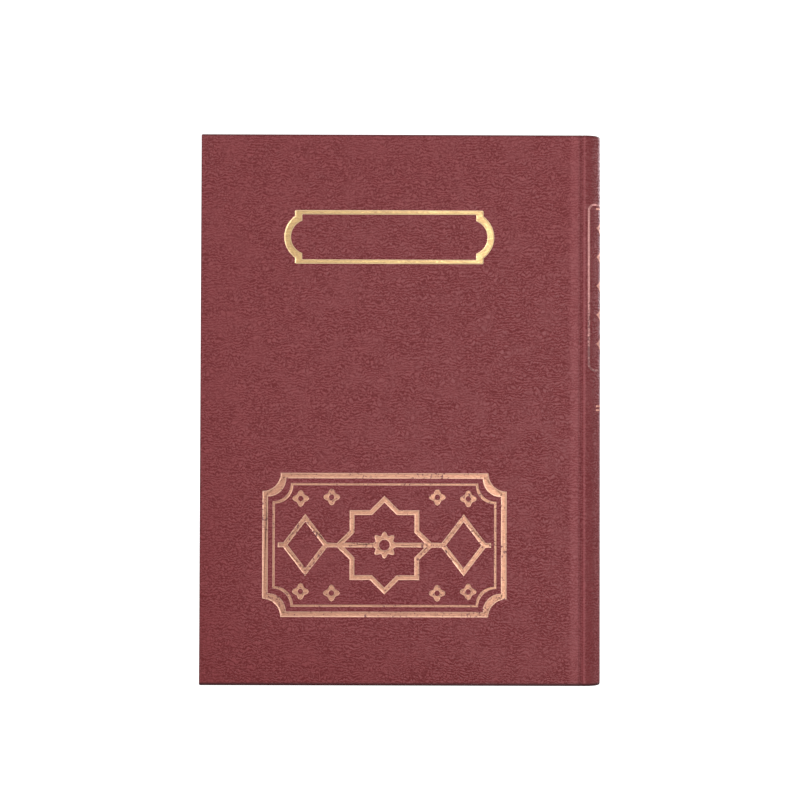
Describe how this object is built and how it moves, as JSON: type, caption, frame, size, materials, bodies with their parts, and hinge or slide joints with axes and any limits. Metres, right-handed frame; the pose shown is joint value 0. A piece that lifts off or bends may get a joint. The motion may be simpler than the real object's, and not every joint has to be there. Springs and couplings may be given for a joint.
{
  "type": "register book",
  "caption": "Case-bound register book: sewn block with a rounded hollow back, grained burgundy boards, gold and rose foil stamping, covers and leaves that turn.",
  "frame": {"origin": "under the middle of the closed book, on the surface that its tail stands on", "axes": "+Z towards the head of the book, +X towards the spine, +Y towards the back cover; the front cover faces -Y"},
  "size_m": [0.2209, 0.0178, 0.303],
  "materials": {
    "leatherette": "grained burgundy coated cloth, satin",
    "greyboard": "plain grey millboard",
    "endpaper": "uncoated heavy ivory paper",
    "book_paper": "uncoated writing paper",
    "muslin": "open weave muslin, glued",
    "kraft_paper": "brown kraft lining paper",
    "band_cloth": "woven cream headband",
    "gold_foil": "hot-stamped gold foil",
    "rose_foil": "hot-stamped rose-gold foil, slightly worn"
  },
  "bodies": {
    "back_cover": {"back_board": "greyboard", "back_cover_cloth": "leatherette", "back_pastedown": "endpaper"},
    "text_block": {"back_joint_cloth": "leatherette", "back_lining_paper": "kraft_paper", "back_mull": "muslin", "back_section_1": "book_paper", "back_section_2": "book_paper", "back_section_3": "book_paper", "back_section_4": "book_paper", "back_section_5": "book_paper", "back_section_6": "book_paper", "front_joint_cloth": "leatherette", "front_section_1": "book_paper", "front_section_2": "book_paper", "front_section_3": "book_paper", "front_section_4": "book_paper", "front_section_5": "book_paper", "front_section_6": "book_paper", "head_band": "band_cloth", "spine_cloth": "leatherette", "spine_frame_foil": "rose_foil", "spine_liner": "greyboard", "spine_lozenge_foil_1": "rose_foil", "spine_lozenge_foil_2": "rose_foil", "spine_lozenge_foil_3": "rose_foil", "spine_lozenge_foil_4": "rose_foil", "spine_lozenge_foil_5": "rose_foil", "spine_rule_foil_1": "rose_foil", "spine_rule_foil_2": "rose_foil", "spine_rule_foil_3": "rose_foil", "tail_band": "band_cloth"},
    "front_cover": {"front_board": "greyboard", "front_cover_cloth": "leatherette", "front_pastedown": "endpaper", "floret_foil_1": "rose_foil", "floret_foil_2": "rose_foil", "floret_foil_3": "rose_foil", "floret_foil_4": "rose_foil", "floret_foil_5": "rose_foil", "floret_foil_6": "rose_foil", "floret_foil_7": "rose_foil", "floret_foil_8": "rose_foil", "medallion_foil": "rose_foil", "panel_frame_foil": "rose_foil", "panel_rule_foil": "rose_foil", "title_frame_foil": "gold_foil"},
    "back_flyleaf_turn": {"back_flyleaf": "endpaper"},
    "back_leaf_1_turn": {"back_leaf_1": "book_paper"},
    "back_leaf_2_turn": {"back_leaf_2": "book_paper"},
    "back_leaf_3_turn": {"back_leaf_3": "book_paper"},
    "front_flyleaf_turn": {"front_flyleaf": "endpaper"},
    "front_leaf_1_turn": {"front_leaf_1": "book_paper"},
    "front_leaf_2_turn": {"front_leaf_2": "book_paper"},
    "front_leaf_3_turn": {"front_leaf_3": "book_paper"}
  },
  "joints": [
    {"name": "front_cover_joint", "type": "hinge", "parent": "text_block", "child": "front_cover", "pos_m": [0.0995, -0.00893, 0.1515], "axis": [0, 0, 1], "range_deg": [0, 175], "deforming": ["front_joint_cloth"]},
    {"name": "back_cover_joint", "type": "hinge", "parent": "back_cover", "child": "text_block", "pos_m": [0.0995, 0.00893, 0.1515], "axis": [0, 0, 1], "range_deg": [0, 175], "deforming": ["back_joint_cloth"]},
    {"name": "front_flyleaf_hinge", "type": "hinge", "parent": "text_block", "child": "front_flyleaf_turn", "pos_m": [0.0995, -0.00893, 0.1515], "axis": [0, 0, 1], "range_deg": [0, 166.75], "deforming": ["front_flyleaf"]},
    {"name": "front_leaf_1_hinge", "type": "hinge", "parent": "text_block", "child": "front_leaf_1_turn", "pos_m": [0.0995, -0.00893, 0.1515], "axis": [0, 0, 1], "range_deg": [0, 126.5], "deforming": ["front_leaf_1"]},
    {"name": "front_leaf_2_hinge", "type": "hinge", "parent": "text_block", "child": "front_leaf_2_turn", "pos_m": [0.0995, -0.00893, 0.1515], "axis": [0, 0, 1], "range_deg": [0, 84.5], "deforming": ["front_leaf_2"]},
    {"name": "front_leaf_3_hinge", "type": "hinge", "parent": "text_block", "child": "front_leaf_3_turn", "pos_m": [0.0995, -0.00893, 0.1515], "axis": [0, 0, 1], "range_deg": [0, 42.5], "deforming": ["front_leaf_3"]},
    {"name": "back_flyleaf_hinge", "type": "hinge", "parent": "text_block", "child": "back_flyleaf_turn", "pos_m": [0.0995, 0.00893, 0.1515], "axis": [0, 0, 1], "range_deg": [-166.75, 0], "deforming": ["back_flyleaf"]},
    {"name": "back_leaf_1_hinge", "type": "hinge", "parent": "text_block", "child": "back_leaf_1_turn", "pos_m": [0.0995, 0.00893, 0.1515], "axis": [0, 0, 1], "range_deg": [-126.5, 0], "deforming": ["back_leaf_1"]},
    {"name": "back_leaf_2_hinge", "type": "hinge", "parent": "text_block", "child": "back_leaf_2_turn", "pos_m": [0.0995, 0.00893, 0.1515], "axis": [0, 0, 1], "range_deg": [-84.5, 0], "deforming": ["back_leaf_2"]},
    {"name": "back_leaf_3_hinge", "type": "hinge", "parent": "text_block", "child": "back_leaf_3_turn", "pos_m": [0.0995, 0.00893, 0.1515], "axis": [0, 0, 1], "range_deg": [-42.5, 0], "deforming": ["back_leaf_3"]}
  ],
  "couplings": [
    {"joint": "front_flyleaf_hinge", "follows": "front_cover_joint", "ratio": 0.95},
    {"joint": "front_leaf_1_hinge", "follows": "front_cover_joint", "ratio": 0.72},
    {"joint": "front_leaf_2_hinge", "follows": "front_cover_joint", "ratio": 0.48},
    {"joint": "front_leaf_3_hinge", "follows": "front_cover_joint", "ratio": 0.24},
    {"joint": "back_flyleaf_hinge", "follows": "back_cover_joint", "ratio": -0.95},
    {"joint": "back_leaf_1_hinge", "follows": "back_cover_joint", "ratio": -0.72},
    {"joint": "back_leaf_2_hinge", "follows": "back_cover_joint", "ratio": -0.48},
    {"joint": "back_leaf_3_hinge", "follows": "back_cover_joint", "ratio": -0.24}
  ]
}
